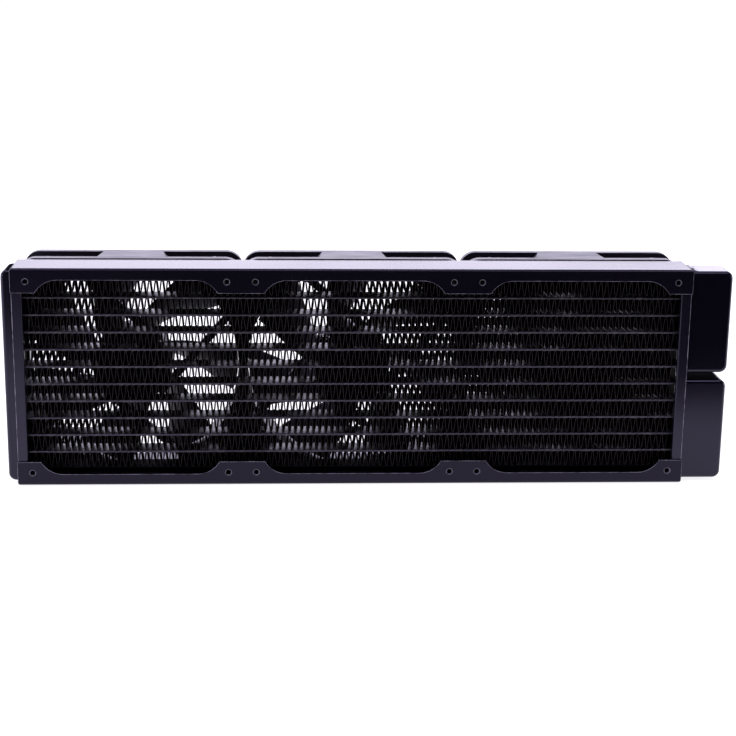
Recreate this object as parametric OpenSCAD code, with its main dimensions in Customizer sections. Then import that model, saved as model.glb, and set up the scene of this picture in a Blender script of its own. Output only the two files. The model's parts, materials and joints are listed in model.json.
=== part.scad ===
// Liquid cooling radiator for three 120 mm fans, with the fans fitted.
// +X runs along the length, +Z is up, and +Y points from the open face to the fans.
// The origin is the centre of the middle hole pattern, on the open face of the casing.

/* [Casing] */
// Length of the two sheet-metal rails
casing_l = 361; // [360.5:0.5:364]
// Width over the two rails
casing_w = 119; // [118:0.5:119.5]
// Depth over the two flanges of a rail
casing_d = 27; // [27:0.5:30]
// Sheet thickness of the rails
sheet = 1.2; // [1:0.1:1.4]
// Outside radius of the rails' folds
fold_r = 1.6; // [1.5:0.1:2]
// Radius of the corners at the rails' ends
end_r = 1.5; // [1:0.1:2]
// Height of a rail's flange between the gussets
flange_h = 6.2; // [5.5:0.1:6.5]
// Height of a rail's flange at the gussets
gusset_h = 13.1; // [12:0.1:14]
// Width of each air opening, where it is widest
opening_w = 98.9; // [96:0.1:100]
// Corner radius of the air openings
opening_r = 13.5; // [12:0.5:15]

/* [Screw holes] */
// Hole to hole distance of a 120 mm fan
hole_pitch = 105; // [105:Standard 120 mm fan]
// Radius of an M3 tapping hole
tap_r = 1.25; // [1.2:0.05:1.3]
// Radius of the thread clearance on the fan side
screw_gap_r = 1.55; // [1.52:0.01:1.6]
// Outside radius of the drawn collar behind each hole
collar_r = 1.95; // [1.9:0.05:2.1]
// Length of the drawn collar beyond the sheet
collar_l = 1; // [0.6:0.1:1.4]

/* [Core] */
// Number of flat tubes
tube_count = 10; // [8:1:10]
// Distance between tube centres
tube_pitch = 9.48; // [9.4:0.01:9.5]
// Thickness of a flat tube
tube_t = 1.5; // [1.4:0.05:1.6]
// Depth of a flat tube from nose to nose
tube_d = 14.6; // [14:0.1:15]
// Wall of a flat tube
tube_wall = 0.25; // [0.2:0.05:0.35]
// Depth of the fin strips
fin_d = 12.4; // [12:0.1:14]
// Distance between two crests of a fin strip
fin_pitch = 3.3; // [3.2:0.05:3.3]
// Number of folds in a fin strip
fin_folds = 105; // [100:1:105]
// Thickness of the fin sheet
fin_t = 0.15; // [0.12:0.01:0.2]

/* [Tanks] */
// How far the return tank stands beyond the casing
return_out = 5.5; // [5:0.5:8]
// How far the inlet and outlet tanks stand beyond the casing
flow_out = 22.5; // [22:0.5:26]
// Width over the tanks
tank_w = 116; // [115:0.5:116.5]
// Depth of the tanks
tank_d = 19.5; // [19:0.5:20]
// Gap between the inlet tank and the outlet tank
tank_gap = 4; // [3.5:0.5:4.5]
// Wall of the tanks
tank_wall = 1; // [0.8:0.1:1.2]
// Large corner radius of the tanks
tank_corner_r = 4; // [3.5:0.5:4.5]
// Edge radius of the tanks
tank_edge_r = 2; // [1.5:0.5:2.5]
// Thread core radius of a G1/4 port
port_r = 5.72; // [5.7:0.01:5.74]
// Radius of a port's collar
port_collar_r = 9.25; // [9:0.05:9.5]

/* [Fans] */
// Number of fans
fan_count = 3; // [3:Three fans]
// Distance between fan centres
fan_pitch = 120; // [120:0.1:120.2]
// Side of a fan frame
fan_size = 119.8; // [119:0.1:119.9]
// Depth of a fan frame
fan_d = 25; // [25:Standard 25 mm fan]
// Corner radius of a fan frame
fan_corner_r = 9; // [7:0.5:10]
// Radius of the air duct
duct_r = 58; // [57.5:0.1:58.2]
// Radius of the impeller hub
hub_r = 21; // [20.5:0.1:22]
// Radius of the blade tips
tip_r = 57.2; // [56:0.1:57.2]
// Number of blades
blade_count = 7; // [5:1:7]
// Angle that a blade covers, seen along the shaft
blade_span = 31; // [24:1:34]
// Angle by which the tips lead the roots
blade_sweep = 26; // [15:1:35]
// Angle by which a blade bows forward at mid length
blade_bow = 5; // [0:1:8]
// Greatest blade thickness
blade_t = 1.7; // [1.2:0.1:2]
// Shaft radius
shaft_r = 1.5; // [1.5:0.05:1.6]

/* [Hidden] */
$fn = 64;
sides = ["left", "middle", "right"];
fan_nodes = ["frame", "impeller", "yoke", "magnet", "shaft", "stator", "circuit_board"];

// Casing
half_l = casing_l / 2;
half_w = casing_w / 2;
mid_y = casing_d / 2;
web_z = half_w - sheet;
hole_z = hole_pitch / 2;
hole_half = hole_pitch / 2;
strip_t = 1;
strip_w = 5.5;
strip_lip = 4;
strip_x0 = half_l - 0.2 - strip_w;
strip_z = web_z - fold_r + sheet;

// Core
film = 0.03;
header_t = 1.4;
header_x0 = strip_x0 + strip_t + 0.2;
header_x1 = header_x0 + header_t;
tube_end = header_x1 + 1;
fin_h = tube_pitch - tube_t - 2 * film;
fin_crest = 0.45;
fin_l = fin_pitch * fin_folds;
side_plate_t = 0.8;
side_plate_z = (tube_count + 1) / 2 * tube_pitch - tube_t / 2 + film;

// Tanks and ports
tank_y0 = mid_y - tank_d / 2;
tank_y1 = mid_y + tank_d / 2;
lip_x = half_l + 0.2;
lip_l = 3.6;
lip_h = 1.1;
port_x = half_l + 12;
port_z = (tank_w / 2 + tank_gap / 2) / 2;
port_neck_r = 7.6;
port_collar_l = 2.75;
port_depth = 6;

// Fans
fan_y0 = casing_d;
fan_y1 = fan_y0 + fan_d;
front_flange = 5.2;
rear_flange = 4.7;
duct_wall = 1.6;
pad_w = [37, 32];
pad_slope = 4.5;
pad_z0 = duct_r - 2.5;
rib_x = 45;
rib_l = 5;
rib_t = 1.6;
rib_drop = 0.3;
fan_hole_r = 2.15;
base_y = fan_y0 + 0.3;
base_t = 2;
base_r = hub_r - 0.5;
strut_w = 4;
strut_t = 3;
strut_count = 4;
strut_angle = -41;
strut_foot = 1.8;
strut_l = sqrt(pow(duct_r + duct_wall, 2) - pow(hub_r, 2));
bearing_r = 3.5;
bearing_tube_r = 4.6;
running_gap = 0.03;
motor_y0 = fan_y0 + 4.4;
motor_y1 = motor_y0 + 11.2;
core_inset = 1.6;
board_y = base_y + base_t + 0.2;
board_t = 1;
board_r = 17.5;
hub_y0 = fan_y0 + 3.8;
hub_y1 = fan_y1 - 1.4;
hub_wall = 1.3;
hub_round = 2;
boss_r = 4;
boss_y0 = fan_y0 + 17;
yoke_t = 0.75;
yoke_r = hub_r - hub_wall - 0.05;
yoke_y0 = hub_y0 + 0.8;
yoke_y1 = hub_y1 - hub_wall - 0.05;
magnet_r = yoke_r - yoke_t - 0.02;
magnet_t = 2.3;
magnet_y1 = motor_y1 + 0.4;
pole_r = magnet_r - magnet_t - 0.6;
pole_count = 4;
pole_shoe = 2.4;
pole_span = 68;
neck_w = 4;
blade_y = (hub_y0 + hub_y1) / 2 + 0.1;
blade_rise = [18.4, 17.6];
blade_camber = 1.2;
blade_edge = 0.4;
blade_rows = 6;
blade_cols = 5;
root_r = hub_r - hub_wall / 2;
// Rest angle of each impeller, so that the three don't stand alike
rest_angle = [73, 62, 42];
screw_head_r = 2.8;
screw_head_h = 1.9;
screw_l = 30;
slot_w = 0.9;

function fan_x(i) = (i - (fan_count - 1) / 2) * fan_pitch;
function tube_z(i) = ((tube_count + 1) / 2 - i) * tube_pitch;
function fin_z(i) = tube_z(i) + tube_pitch / 2;

// An outline in X and Z, made solid from y0 to y1
module slab_y(y0, y1) {
    translate([0, y1, 0])
        rotate([90, 0, 0])
            linear_extrude(y1 - y0)
                children();
}

// An outline in Y and Z, made solid from x0 to x1
module slab_x(x0, x1) {
    translate([x0, 0, 0])
        rotate([90, 0, 90])
            linear_extrude(x1 - x0)
                children();
}

// An outline in X and Y, made solid from z0 to z1
module slab_z(z0, z1) {
    translate([0, 0, z0])
        linear_extrude(z1 - z0)
            children();
}

// A round bar along Y, tapered if r_end is given
module rod_y(x, z, r, y0, y1, r_end = undef) {
    translate([x, y0, z])
        rotate([-90, 0, 0])
            cylinder(h = y1 - y0, r1 = r, r2 = is_undef(r_end) ? r : r_end);
}

// A rectangle from a to b with its four corners rounded
module rounded(a, b, r) {
    translate([a[0] + r, a[1]])
        square([b[0] - a[0] - 2 * r, b[1] - a[1]]);
    translate([a[0], a[1] + r])
        square([b[0] - a[0], b[1] - a[1] - 2 * r]);
    for (x = [a[0] + r, b[0] - r], y = [a[1] + r, b[1] - r])
        translate([x, y])
            circle(r);
}

// A rectangle from a to b with its two upper corners rounded
module arch(a, b, r) {
    translate(a)
        square([b[0] - a[0], b[1] - a[1] - r]);
    translate([a[0] + r, a[1]])
        square([b[0] - a[0] - 2 * r, b[1] - a[1]]);
    for (x = [a[0] + r, b[0] - r])
        translate([x, b[1] - r])
            circle(r);
}

// A flat tube's outline in Y and Z
module flat_oval(depth, t) {
    translate([mid_y - depth / 2 + t / 2, -t / 2])
        square([depth - t, t]);
    for (y = [-1, 1])
        translate([mid_y + y * (depth - t) / 2, 0])
            circle(t / 2);
}

module at_fan(i) {
    translate([fan_x(i), 0, 0])
        children();
}

// Sheet-metal rail: a channel with three air openings and a row of screw holes on each face
module rail() {
    difference() {
        union() {
            intersection() {
                slab_x(-half_l, half_l)
                    difference() {
                        arch([0, half_w - gusset_h], [casing_d, half_w], fold_r);
                        arch([sheet, 0], [casing_d - sheet, web_z], fold_r - sheet);
                    }
                slab_y(-1, casing_d + 1)
                    arch([-half_l, 0], [half_l, half_w], end_r);
            }
            for (i = [0:fan_count - 1], x = [-hole_half, hole_half]) {
                rod_y(fan_x(i) + x, hole_z, collar_r, sheet / 2, sheet + collar_l);
                rod_y(fan_x(i) + x, hole_z, collar_r, casing_d - sheet - collar_l, casing_d - sheet / 2);
            }
        }
        for (i = [0:fan_count - 1])
            at_fan(i) {
                slab_y(-1, casing_d + 1)
                    arch([-opening_w / 2, 0], [opening_w / 2, half_w - flange_h], opening_r);
                for (x = [-hole_half, hole_half])
                    rail_hole(x);
            }
    }
}

// A tapped hole in the open face and the hole for a fan's screw opposite
module rail_hole(x) {
    rod_y(x, hole_z, tap_r, -1, mid_y);
    rod_y(x, hole_z, screw_gap_r, mid_y, casing_d + 1);
}

module top_rail() {
    color("#17131f") rail();
}

module bottom_rail() {
    color("#3c384a") mirror([0, 0, 1]) rail();
}

// Folded strip that closes the casing beside a tank, behind the rails' flanges
module end_strip() {
    slab_z(-strip_z, strip_z) {
        translate([strip_x0 + strip_t, sheet])
            square([strip_w - strip_t, strip_t]);
        translate([strip_x0, sheet + strip_t])
            square([strip_t, strip_lip - strip_t]);
        intersection() {
            translate([strip_x0 + strip_t, sheet + strip_t])
                circle(strip_t);
            translate([strip_x0, sheet])
                square(strip_t);
        }
    }
}

module strip(left, rear) {
    color("#4a465a")
        translate([0, rear ? casing_d : 0, 0])
            mirror([0, rear ? 1 : 0, 0])
                mirror([left ? 1 : 0, 0, 0])
                    end_strip();
}

// Plate that the tubes' ends are brazed into
module header_plate(left) {
    color("#16131c")
        mirror([left ? 1 : 0, 0, 0])
            difference() {
                slab_x(header_x0, header_x1)
                    translate([tank_y0, -web_z])
                        square([tank_d, 2 * web_z]);
                for (i = [1:tube_count])
                    translate([0, 0, tube_z(i)])
                        slab_x(header_x0 - 1, header_x1 + 1)
                            flat_oval(tube_d + 2 * film, tube_t + 2 * film);
            }
}

// Plate that guards the outer fin strip from the casing's screws
module side_plate() {
    color("#16131c")
        slab_x(-header_x0, header_x0)
            translate([mid_y - fin_d / 2, side_plate_z])
                square([fin_d, side_plate_t]);
}

// A box from the header plate to x1, rounded at the far end, inset by a wall's thickness
module tank_form(x1, z0, z1, inset) {
    x0 = inset > 0 ? header_x1 - 1 : header_x1;
    corner = tank_corner_r - inset;
    edge = tank_edge_r - inset;
    far = x1 - inset;
    y0 = tank_y0 + inset;
    y1 = tank_y1 - inset;
    back = x0 - 2 * tank_corner_r;
    intersection() {
        slab_y(y0, y1)
            rounded([back, z0 + inset], [far, z1 - inset], corner);
        slab_z(z0 + inset, z1 - inset)
            rounded([back, y0], [far, y1], edge);
        slab_x(x0, far)
            rounded([y0, z0 + inset], [y1, z1 - inset], edge);
    }
}

module tank(x1, z0, z1) {
    difference() {
        tank_form(x1, z0, z1, 0);
        tank_form(x1, z0, z1, tank_wall);
    }
}

module return_tank() {
    color("#35313f")
        mirror([1, 0, 0])
            tank(half_l + return_out, -tank_w / 2, tank_w / 2);
}

// Tank for one direction of flow, with the hole for its port and the bead at its foot
module flow_tank() {
    difference() {
        union() {
            tank(half_l + flow_out, tank_gap / 2, tank_w / 2);
            slab_y(tank_y0 + tank_edge_r, tank_y1 - tank_edge_r)
                polygon([
                    [lip_x, tank_w / 2 - tank_wall / 2],
                    [lip_x, tank_w / 2 + lip_h],
                    [lip_x + lip_l / 2, tank_w / 2 + lip_h],
                    [lip_x + lip_l, tank_w / 2 - tank_wall / 2]
                ]);
        }
        rod_y(port_x, port_z, port_neck_r + film, mid_y, tank_y1 + 1);
    }
}

module inlet_tank() {
    color("#0c0914") flow_tank();
}

module outlet_tank() {
    color("#35313f") mirror([0, 0, 1]) flow_tank();
}

// Threaded port: a collar on the tank's rear face and a neck through its wall
module port() {
    difference() {
        union() {
            rod_y(port_x, port_z, port_collar_r, tank_y1, tank_y1 + port_collar_l);
            rod_y(port_x, port_z, port_neck_r, tank_y1 - port_depth, tank_y1);
        }
        rod_y(port_x, port_z, port_r, tank_y1 - port_depth - 1, tank_y1 + port_collar_l + 1);
    }
}

module inlet_port() {
    color("#1c1824") port();
}

module outlet_port() {
    color("#1c1824") mirror([0, 0, 1]) port();
}

module flat_tube(i) {
    color("#2a2733")
        translate([0, 0, tube_z(i)])
            slab_x(-tube_end, tube_end)
                difference() {
                    flat_oval(tube_d, tube_t);
                    flat_oval(tube_d - 2 * tube_wall, tube_t - 2 * tube_wall);
                }
}

// Folded fin sheet: its two faces run over the crests and through the troughs
module fin_strip(i) {
    slope = (fin_pitch / 2 - 2 * fin_crest) / fin_h;
    inner = fin_crest - fin_t * (sqrt(1 + slope * slope) - slope);
    outside = fin_h / 2;
    inside = fin_h / 2 - fin_t;
    last = 2 * fin_folds;
    function fold_x(j) = -fin_l / 2 + j * fin_pitch / 2;
    function is_crest(j) = (j + i) % 2 == 0;
    upper = [for (j = [0:last], s = [-1, 1]) is_crest(j)
        ? [fold_x(j) + s * fin_crest, outside]
        : [fold_x(j) + s * inner, -inside]];
    lower = [for (j = [last:-1:0], s = [1, -1]) is_crest(j)
        ? [fold_x(j) + s * inner, inside]
        : [fold_x(j) + s * fin_crest, -outside]];
    color("#100e15")
        translate([0, 0, fin_z(i)])
            slab_y(mid_y - fin_d / 2, mid_y + fin_d / 2)
                polygon(concat(upper, lower));
}

// Cross-section of the pad in the middle of a frame's side: its ends slope down to the duct
module pad_section(y, w) {
    foot = w / 2 + pad_slope;
    slab_y(y - 0.05, y + 0.05)
        polygon([[-foot, pad_z0], [foot, pad_z0], [w / 2, fan_size / 2], [-w / 2, fan_size / 2]]);
}

module side_pad() {
    hull() {
        pad_section(fan_y0 + front_flange / 2, pad_w[0]);
        pad_section(fan_y1 - rear_flange / 2, pad_w[1]);
    }
}

// Small web between the front flange and the duct
module side_rib(x) {
    rib_y = fan_y0 + front_flange;
    rib_z = fan_size / 2 - rib_drop;
    slab_x(x - rib_t / 2, x + rib_t / 2)
        polygon([
            [rib_y - 1, rib_z],
            [rib_y - 1, duct_r / 2],
            [rib_y + rib_l, duct_r / 2],
            [rib_y + rib_l, rib_z - rib_l],
            [rib_y + rib_l / 2, rib_z]
        ]);
}

module four_sides() {
    for (turn = [0:90:270])
        rotate([0, turn, 0])
            children();
}

module corner_holes(y0, y1, r) {
    for (x = [-hole_half, hole_half], z = [-hole_z, hole_z])
        rod_y(x, z, r, y0, y1);
}

module fan_frame(i) {
    corner = [fan_size / 2, fan_size / 2];
    color("#0f0d13")
        at_fan(i) {
            difference() {
                union() {
                    slab_y(fan_y0, fan_y0 + front_flange)
                        rounded(-corner, corner, fan_corner_r);
                    slab_y(fan_y1 - rear_flange, fan_y1)
                        rounded(-corner, corner, fan_corner_r);
                    rod_y(0, 0, duct_r + duct_wall, fan_y0 + 1, fan_y1 - 1);
                    four_sides() {
                        side_pad();
                        side_rib(-rib_x);
                        side_rib(rib_x);
                    }
                }
                rod_y(0, 0, duct_r, fan_y0 - 1, fan_y1 + 1);
                corner_holes(fan_y0 - 1, fan_y1 + 1, fan_hole_r);
            }
            motor_mount();
        }
}

// Motor base with struts that leave its rim like tangents, and the tube for the bearing
module motor_mount() {
    difference() {
        union() {
            rod_y(0, 0, base_r, base_y, base_y + base_t);
            rod_y(0, 0, bearing_tube_r, base_y, motor_y1);
            for (k = [0:strut_count - 1])
                rotate([0, -strut_angle - k * 360 / strut_count, 0])
                    translate([hub_r - strut_w / 2, base_y, -strut_foot])
                        cube([strut_w, strut_t, strut_l + strut_foot]);
        }
        rod_y(0, 0, bearing_r + film, base_y + 1, motor_y1 + 1);
        difference() {
            rod_y(0, 0, base_r - 1, base_y + base_t, motor_y1 + 1);
            rod_y(0, 0, bearing_tube_r, base_y, motor_y1 + 1);
        }
    }
}

// Hub cup with the boss that holds the shaft
module hub() {
    rotate([-90, 0, 0])
        rotate_extrude()
            difference() {
                union() {
                    translate([0, hub_y0])
                        square([hub_r, hub_y1 - hub_round - hub_y0]);
                    translate([0, hub_y0])
                        square([hub_r - hub_round, hub_y1 - hub_y0]);
                    translate([hub_r - hub_round, hub_y1 - hub_round])
                        circle(hub_round);
                }
                translate([boss_r, hub_y0 - 1])
                    square([hub_r - hub_wall - boss_r, hub_y1 - hub_wall - hub_y0 + 1]);
                translate([-1, hub_y0 - 1])
                    square([boss_r + 1.01, boss_y0 - hub_y0 + 1]);
                translate([-1, hub_y0 - 1])
                    square([shaft_r + 1, hub_y1 - hub_wall - hub_y0 + 1]);
            }
}

// A point on a blade: u runs from root to tip, v from the trailing edge to the leading edge.
// face is 1 on the suction side and -1 on the pressure side.
function blade_point(u, v, face) = let(
        r = root_r + (tip_r - root_r) * u,
        rise = blade_rise[0] + (blade_rise[1] - blade_rise[0]) * u,
        pitch = atan2(rise, r * blade_span * PI / 180),
        bulge = 4 * v * (1 - v),
        skin = face * blade_t / 2 * (blade_edge + (1 - blade_edge) * bulge),
        lead = blade_sweep * u + blade_bow * 4 * u * (1 - u),
        a = (0.5 - v) * blade_span - lead + skin * sin(pitch) / r * 180 / PI,
        y = blade_y + (v - 0.5) * rise - blade_camber * bulge + skin * cos(pitch)
    ) [r * cos(a), y, r * sin(a)];

module blade() {
    ring = 2 * (blade_cols + 1);
    points = [for (row = [0:blade_rows]) each concat(
        [for (col = [0:blade_cols]) blade_point(row / blade_rows, col / blade_cols, -1)],
        [for (col = [blade_cols:-1:0]) blade_point(row / blade_rows, col / blade_cols, 1)]
    )];
    walls = [for (row = [0:blade_rows - 1], k = [0:ring - 1]) let(
            a = row * ring + k,
            b = row * ring + (k + 1) % ring
        ) each [[a, b + ring, b], [a, a + ring, b + ring]]];
    function cap(first) = [for (k = [0:blade_cols - 1]) each [
        [first + k, first + k + 1, first + ring - 1 - k],
        [first + k + 1, first + ring - 2 - k, first + ring - 1 - k]
    ]];
    function flipped(faces) = [for (f = faces) [f[2], f[1], f[0]]];
    polyhedron(points, concat(walls, cap(0), flipped(cap(blade_rows * ring))));
}

module fan_impeller(i) {
    color("#0b0a0e")
        at_fan(i) {
            hub();
            for (k = [0:blade_count - 1])
                rotate([0, -rest_angle[i] - k * 360 / blade_count, 0])
                    blade();
        }
}

// Steel cup that carries the magnet inside the hub
module fan_yoke(i) {
    color("#8d8d92")
        at_fan(i)
            difference() {
                rod_y(0, 0, yoke_r, yoke_y0, yoke_y1);
                rod_y(0, 0, yoke_r - yoke_t, yoke_y0 - 1, yoke_y1 - yoke_t);
                rod_y(0, 0, boss_r + 0.2, yoke_y0, yoke_y1 + 1);
            }
}

module fan_magnet(i) {
    color("#3a3a3c")
        at_fan(i)
            difference() {
                rod_y(0, 0, magnet_r, yoke_y0 + 0.2, magnet_y1);
                rod_y(0, 0, magnet_r - magnet_t, yoke_y0 - 1, magnet_y1 + 1);
            }
}

module fan_shaft(i) {
    color("#c8c8cc")
        at_fan(i)
            rod_y(0, 0, shaft_r, board_y + board_t, hub_y1 - hub_wall - 0.02);
}

// Iron core with four poles
module fan_stator(i) {
    pole_y0 = motor_y0 + core_inset;
    pole_y1 = motor_y1 - core_inset;
    color("#6c6f76")
        at_fan(i)
            slab_y(pole_y0, pole_y1)
                difference() {
                    union() {
                        circle(bearing_tube_r + 3);
                        for (k = [0:pole_count - 1])
                            rotate(k * 360 / pole_count) {
                                translate([0, -neck_w / 2])
                                    square([pole_r - pole_shoe / 2, neck_w]);
                                pole_face();
                            }
                    }
                    circle(bearing_tube_r + film);
                }
}

module pole_face() {
    reach = 2 * pole_r;
    half = pole_span / 2;
    intersection() {
        difference() {
            circle(pole_r);
            circle(pole_r - pole_shoe);
        }
        polygon([[0, 0], reach * [cos(half), -sin(half)], reach * [cos(half), sin(half)]]);
    }
}

module fan_circuit_board(i) {
    color("#1f5a34")
        at_fan(i) {
            slab_y(board_y, board_y + board_t)
                difference() {
                    circle(board_r);
                    circle(bearing_tube_r + 0.2);
                }
            slab_y(board_y + board_t / 2, motor_y0 - 0.3)
                translate([8, -2])
                    square([5, 4]);
        }
}

module fan_bearings() {
    color("#b08d57")
        for (i = [0:fan_count - 1])
            at_fan(i)
                difference() {
                    rod_y(0, 0, bearing_r, board_y + board_t, motor_y1);
                    rod_y(0, 0, shaft_r + running_gap, board_y, motor_y1 + 1);
                }
}

// One coil round a pole's neck
module winding() {
    pole_y0 = motor_y0 + core_inset;
    pole_y1 = motor_y1 - core_inset;
    half = neck_w;
    inner_x = bearing_tube_r + 3.3;
    shoe_r = pole_r - pole_shoe - 0.3;
    outer_x = sqrt(shoe_r * shoe_r - half * half);
    difference() {
        translate([inner_x, motor_y0, -half])
            cube([outer_x - inner_x, motor_y1 - motor_y0, 2 * half]);
        translate([inner_x - 1, pole_y0 - film, -neck_w / 2 - film])
            cube([outer_x, pole_y1 - pole_y0 + 2 * film, neck_w + 2 * film]);
    }
}

module fan_windings() {
    color("#b5651d")
        for (i = [0:fan_count - 1], k = [0:pole_count - 1])
            at_fan(i)
                rotate([0, k * 360 / pole_count, 0])
                    winding();
}

// Pan-head screw with a cross recess
module screw() {
    difference() {
        union() {
            rod_y(0, 0, shaft_r, fan_y1 - screw_l, fan_y1 + screw_head_h / 2);
            rod_y(0, 0, screw_head_r, fan_y1, fan_y1 + screw_head_h * 0.6);
            rod_y(0, 0, screw_head_r, fan_y1 + screw_head_h * 0.6, fan_y1 + screw_head_h, screw_head_r - 0.8);
        }
        for (turn = [0, 90])
            rotate([0, turn, 0])
                translate([-slot_w * 1.5, fan_y1 + screw_head_h / 2, -slot_w / 2])
                    cube([slot_w * 3, screw_head_h, slot_w]);
    }
}

module fan_screws() {
    color("#1a1a1c")
        for (i = [0:fan_count - 1], x = [-hole_half, hole_half], z = [-hole_z, hole_z])
            translate([fan_x(i) + x, 0, z])
                screw();
}

top_rail();
bottom_rail();
strip(true, false);  // left_front_strip
strip(true, true);  // left_rear_strip
strip(false, false);  // right_front_strip
strip(false, true);  // right_rear_strip
header_plate(true);  // left_header_plate
header_plate(false);  // right_header_plate
side_plate();  // upper_side_plate
mirror([0, 0, 1]) side_plate();  // lower_side_plate
return_tank();
inlet_tank();
outlet_tank();
inlet_port();
outlet_port();
for (i = [1:tube_count])
    flat_tube(i);
for (i = [1:tube_count + 1])
    fin_strip(i);
for (i = [0:fan_count - 1]) {
    fan_frame(i);
    fan_impeller(i);
    fan_yoke(i);
    fan_magnet(i);
    fan_shaft(i);
    fan_stator(i);
    fan_circuit_board(i);
}
fan_bearings();
fan_windings();
fan_screws();
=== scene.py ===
import json
import math
import random

import bmesh
import bpy
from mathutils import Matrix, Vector, noise

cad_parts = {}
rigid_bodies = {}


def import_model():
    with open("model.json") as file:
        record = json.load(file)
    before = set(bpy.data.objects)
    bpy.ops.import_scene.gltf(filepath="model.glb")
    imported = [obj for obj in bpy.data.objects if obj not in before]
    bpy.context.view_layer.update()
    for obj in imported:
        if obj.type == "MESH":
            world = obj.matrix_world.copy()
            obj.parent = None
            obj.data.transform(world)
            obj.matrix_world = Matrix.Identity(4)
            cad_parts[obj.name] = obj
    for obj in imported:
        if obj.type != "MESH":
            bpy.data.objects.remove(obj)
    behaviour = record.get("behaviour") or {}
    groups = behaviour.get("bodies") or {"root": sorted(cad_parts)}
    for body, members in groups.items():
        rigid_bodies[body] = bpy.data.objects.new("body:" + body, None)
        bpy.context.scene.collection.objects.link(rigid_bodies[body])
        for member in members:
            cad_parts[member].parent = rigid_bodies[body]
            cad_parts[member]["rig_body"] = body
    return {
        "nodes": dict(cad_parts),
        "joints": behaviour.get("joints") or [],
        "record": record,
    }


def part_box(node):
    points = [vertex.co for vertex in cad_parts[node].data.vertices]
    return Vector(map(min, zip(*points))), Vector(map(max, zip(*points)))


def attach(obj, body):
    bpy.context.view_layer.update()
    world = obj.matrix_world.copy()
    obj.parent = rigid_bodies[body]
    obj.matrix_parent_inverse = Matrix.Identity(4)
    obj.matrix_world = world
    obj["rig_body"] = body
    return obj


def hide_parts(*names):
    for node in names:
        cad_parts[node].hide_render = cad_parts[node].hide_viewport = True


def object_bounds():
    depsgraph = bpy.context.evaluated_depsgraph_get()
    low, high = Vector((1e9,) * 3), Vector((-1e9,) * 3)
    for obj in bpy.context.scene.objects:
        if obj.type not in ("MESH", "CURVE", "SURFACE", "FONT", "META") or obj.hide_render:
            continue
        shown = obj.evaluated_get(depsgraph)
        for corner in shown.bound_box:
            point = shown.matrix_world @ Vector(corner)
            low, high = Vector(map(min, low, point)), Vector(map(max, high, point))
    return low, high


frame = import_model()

cad_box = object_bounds()
MM = 0.001
NODES = frame["nodes"]
RECORD = frame["record"]
MOUNTS = {m["name"]: m for m in RECORD["mounts"]}
SIDES = ("left", "middle", "right")
FLOOR_Z = cad_box[0].z


# ---------------------------------------------------------------- camera

# The camera's place in mm, its turn in degrees and its lens, fitted to the casing's screw holes.
CAMERA_PLACE = (-38.67, -839.35, 227.09)
CAMERA_TURN = (75.257, -0.739, -2.943)
CAMERA_LENS = 79.55


def make_camera():
    data = bpy.data.cameras.new("camera")
    data.lens = CAMERA_LENS
    data.sensor_width = 36.0
    data.clip_start = 0.01
    data.clip_end = 100.0
    camera = bpy.data.objects.new("camera", data)
    camera.location = [c * MM for c in CAMERA_PLACE]
    camera.rotation_euler = [math.radians(a) for a in CAMERA_TURN]
    bpy.context.scene.collection.objects.link(camera)
    bpy.context.scene.camera = camera


# ---------------------------------------------------------------- node helpers

class Nodes:
    """A material's or a world's node tree, with short calls to add and join nodes."""

    def __init__(self, tree):
        self.tree = tree
        tree.nodes.clear()

    def add(self, kind, **values):
        node = self.tree.nodes.new(kind)
        for key, value in values.items():
            setattr(node, key, value)
        return node

    def link(self, out, into):
        self.tree.links.new(out, into)

    def noise(self, vector, scale, detail=2.0, rough=0.5):
        node = self.add("ShaderNodeTexNoise")
        node.inputs["Scale"].default_value = scale
        node.inputs["Detail"].default_value = detail
        node.inputs["Roughness"].default_value = rough
        self.link(vector, node.inputs["Vector"])
        return node.outputs["Fac"]

    def spread(self, value, low, high, start=0.3, end=0.7):
        """Maps start..end to low..high."""
        node = self.add("ShaderNodeMapRange")
        for key, number in zip(("From Min", "From Max", "To Min", "To Max"), (start, end, low, high)):
            node.inputs[key].default_value = number
        self.link(value, node.inputs["Value"])
        return node.outputs["Result"]

    def mix(self, fac, a, b):
        """Mixes two colours, each a tuple or a socket."""
        node = self.add("ShaderNodeMix", data_type="RGBA")
        self.link(fac, node.inputs[0])
        for socket, colour in ((node.inputs[6], a), (node.inputs[7], b)):
            if isinstance(colour, tuple):
                socket.default_value = (*colour, 1.0)
            else:
                self.link(colour, socket)
        return node.outputs[2]

    def bump(self, height, distance, strength=1.0, normal=None):
        node = self.add("ShaderNodeBump")
        node.inputs["Distance"].default_value = distance
        node.inputs["Strength"].default_value = strength
        self.link(height, node.inputs["Height"])
        if normal is not None:
            self.link(normal, node.inputs["Normal"])
        return node.outputs["Normal"]

    def stretched(self, vector, scale):
        node = self.add("ShaderNodeMapping")
        node.inputs["Scale"].default_value = scale
        self.link(vector, node.inputs["Vector"])
        return node.outputs["Vector"]


def new_material(name):
    """Returns the material, its nodes, its Principled shader and its object coordinates."""
    material = bpy.data.materials.new(name)
    material.use_nodes = True
    nodes = Nodes(material.node_tree)
    output = nodes.add("ShaderNodeOutputMaterial")
    shader = nodes.add("ShaderNodeBsdfPrincipled")
    nodes.link(shader.outputs["BSDF"], output.inputs["Surface"])
    place = nodes.add("ShaderNodeTexCoord").outputs["Object"]
    return material, nodes, shader, place


# ---------------------------------------------------------------- materials

LAVENDER = (0.74, 0.68, 1.0)


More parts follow.
